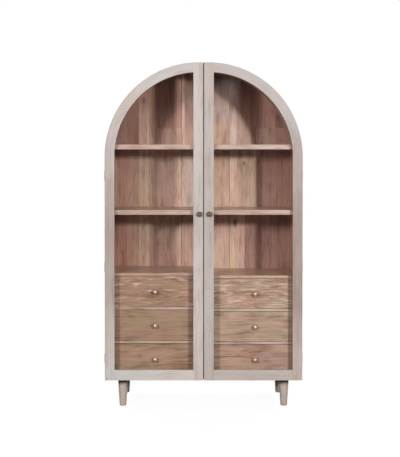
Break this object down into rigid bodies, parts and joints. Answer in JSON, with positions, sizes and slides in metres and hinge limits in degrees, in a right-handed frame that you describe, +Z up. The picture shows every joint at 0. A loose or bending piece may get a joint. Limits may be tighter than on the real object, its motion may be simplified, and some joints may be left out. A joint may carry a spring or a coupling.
{
  "type": "glass cabinet",
  "caption": "Arched display cabinet on tapered legs, with glazed doors that follow the arch, shelves behind them and stacked inner drawers below.",
  "frame": {"origin": "on the floor, under the middle of the cabinet's bounding box", "axes": "+Z up, -Y the front with the doors, +Y the back, +X the right side as seen from the front"},
  "size_m": [1.027, 0.424, 1.784],
  "materials": {
    "whitewashed_wood": "whitewashed, matt",
    "natural_wood": "oiled, matt",
    "drawer_wood": "oiled, matt",
    "glass": "clear float glass",
    "bronze": "dark antique bronze",
    "brass": "aged satin brass",
    "steel": "zinc plated",
    "black_plastic": "moulded"
  },
  "bodies": {
    "case": {"bottom_board": "whitewashed_wood", "centre_post": "natural_wood", "centre_partition": "natural_wood", "drawer_rails": "natural_wood", "drawer_runners": "natural_wood", "leg_bolts": "steel", "door_catches": "black_plastic", "upper_shelf": "natural_wood", "middle_shelf": "natural_wood", "front_left_leg": "whitewashed_wood", "front_right_leg": "whitewashed_wood", "back_left_leg": "whitewashed_wood", "back_right_leg": "whitewashed_wood", "left_side_panel": "whitewashed_wood", "left_arch_panel": "whitewashed_wood", "left_case_hinges": "brass", "left_drawer_deck": "natural_wood", "left_back_planks": "natural_wood", "right_side_panel": "whitewashed_wood", "right_arch_panel": "whitewashed_wood", "right_case_hinges": "brass", "right_drawer_deck": "natural_wood", "right_back_planks": "natural_wood"},
    "left_door": {"left_hinge_stile": "whitewashed_wood", "left_meeting_stile": "whitewashed_wood", "left_arch_rail": "whitewashed_wood", "left_bottom_rail": "whitewashed_wood", "left_glass": "glass", "left_glass_beads": "whitewashed_wood", "left_door_knob": "bronze", "left_door_hinges": "brass", "left_strike_plate": "steel"},
    "right_door": {"right_hinge_stile": "whitewashed_wood", "right_meeting_stile": "whitewashed_wood", "right_arch_rail": "whitewashed_wood", "right_bottom_rail": "whitewashed_wood", "right_glass": "glass", "right_glass_beads": "whitewashed_wood", "right_door_knob": "bronze", "right_door_hinges": "brass", "right_strike_plate": "steel"},
    "left_drawer_1": {"left_drawer_1_front": "drawer_wood", "left_drawer_1_box": "natural_wood", "left_drawer_1_knob": "brass"},
    "left_drawer_2": {"left_drawer_2_front": "drawer_wood", "left_drawer_2_box": "natural_wood", "left_drawer_2_knob": "brass"},
    "left_drawer_3": {"left_drawer_3_front": "drawer_wood", "left_drawer_3_box": "natural_wood", "left_drawer_3_knob": "brass"},
    "right_drawer_1": {"right_drawer_1_front": "drawer_wood", "right_drawer_1_box": "natural_wood", "right_drawer_1_knob": "brass"},
    "right_drawer_2": {"right_drawer_2_front": "drawer_wood", "right_drawer_2_box": "natural_wood", "right_drawer_2_knob": "brass"},
    "right_drawer_3": {"right_drawer_3_front": "drawer_wood", "right_drawer_3_box": "natural_wood", "right_drawer_3_knob": "brass"}
  },
  "joints": [
    {"name": "left_door_hinge", "type": "hinge", "parent": "case", "child": "left_door", "pos_m": [-0.5105, -0.165, 0.727], "axis": [0, 0, -1], "range_deg": [0, 175]},
    {"name": "right_door_hinge", "type": "hinge", "parent": "case", "child": "right_door", "pos_m": [0.5105, -0.165, 0.727], "axis": [0, 0, 1], "range_deg": [0, 175]},
    {"name": "left_drawer_1_slide", "type": "slide", "parent": "case", "child": "left_drawer_1", "axis": [0, -1, 0], "range_m": [0, 0.19]},
    {"name": "left_drawer_2_slide", "type": "slide", "parent": "case", "child": "left_drawer_2", "axis": [0, -1, 0], "range_m": [0, 0.19]},
    {"name": "left_drawer_3_slide", "type": "slide", "parent": "case", "child": "left_drawer_3", "axis": [0, -1, 0], "range_m": [0, 0.19]},
    {"name": "right_drawer_1_slide", "type": "slide", "parent": "case", "child": "right_drawer_1", "axis": [0, -1, 0], "range_m": [0, 0.19]},
    {"name": "right_drawer_2_slide", "type": "slide", "parent": "case", "child": "right_drawer_2", "axis": [0, -1, 0], "range_m": [0, 0.19]},
    {"name": "right_drawer_3_slide", "type": "slide", "parent": "case", "child": "right_drawer_3", "axis": [0, -1, 0], "range_m": [0, 0.19]}
  ],
  "couplings": [
    {"joint": "left_drawer_1_slide", "follows": "left_door_hinge", "m_per_rad": 0.0622},
    {"joint": "left_drawer_2_slide", "follows": "left_door_hinge", "m_per_rad": 0.0622},
    {"joint": "left_drawer_3_slide", "follows": "left_door_hinge", "m_per_rad": 0.0622},
    {"joint": "right_drawer_1_slide", "follows": "right_door_hinge", "m_per_rad": 0.0622},
    {"joint": "right_drawer_2_slide", "follows": "right_door_hinge", "m_per_rad": 0.0622},
    {"joint": "right_drawer_3_slide", "follows": "right_door_hinge", "m_per_rad": 0.0622}
  ]
}
